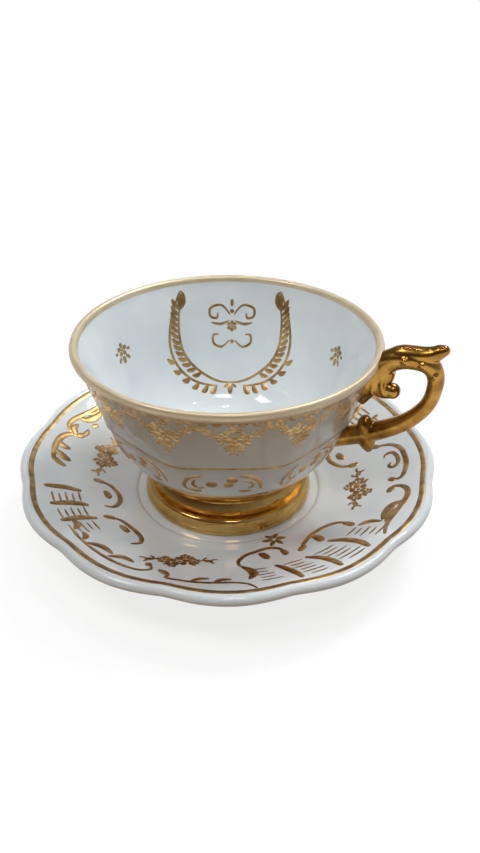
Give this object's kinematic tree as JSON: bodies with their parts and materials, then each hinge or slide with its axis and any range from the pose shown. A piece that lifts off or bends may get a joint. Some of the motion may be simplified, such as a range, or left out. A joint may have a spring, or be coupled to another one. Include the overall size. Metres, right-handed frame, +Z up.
{
  "type": "footed coffee cup and saucer",
  "caption": "Footed coffee cup with panelled bowl and high scroll handle, standing loose in the well of a scalloped saucer; white glaze with bright gold foot and handle.",
  "frame": {"origin": "on the common axis of cup and saucer, at the level that the saucer stands on", "axes": "+Z up along the common axis; +X towards the cup's handle; +Y completes the right-handed frame"},
  "size_m": [0.1156, 0.1156, 0.0599],
  "materials": {
    "porcelain": "hard-paste porcelain under a clear bright glaze, lightly relief-moulded",
    "gilding": "bright liquid gold fired on the glaze, mirror-like"
  },
  "bodies": {
    "saucer": {"saucer": "porcelain"},
    "cup": {"cup_bowl": "porcelain", "cup_foot": "gilding", "cup_handle": "gilding"}
  },
  "joints": [
    {"name": "cup_lift", "type": "slide", "parent": "saucer", "child": "cup", "axis": [0, 0, 1], "range_m": [0, 0.05]}
  ]
}
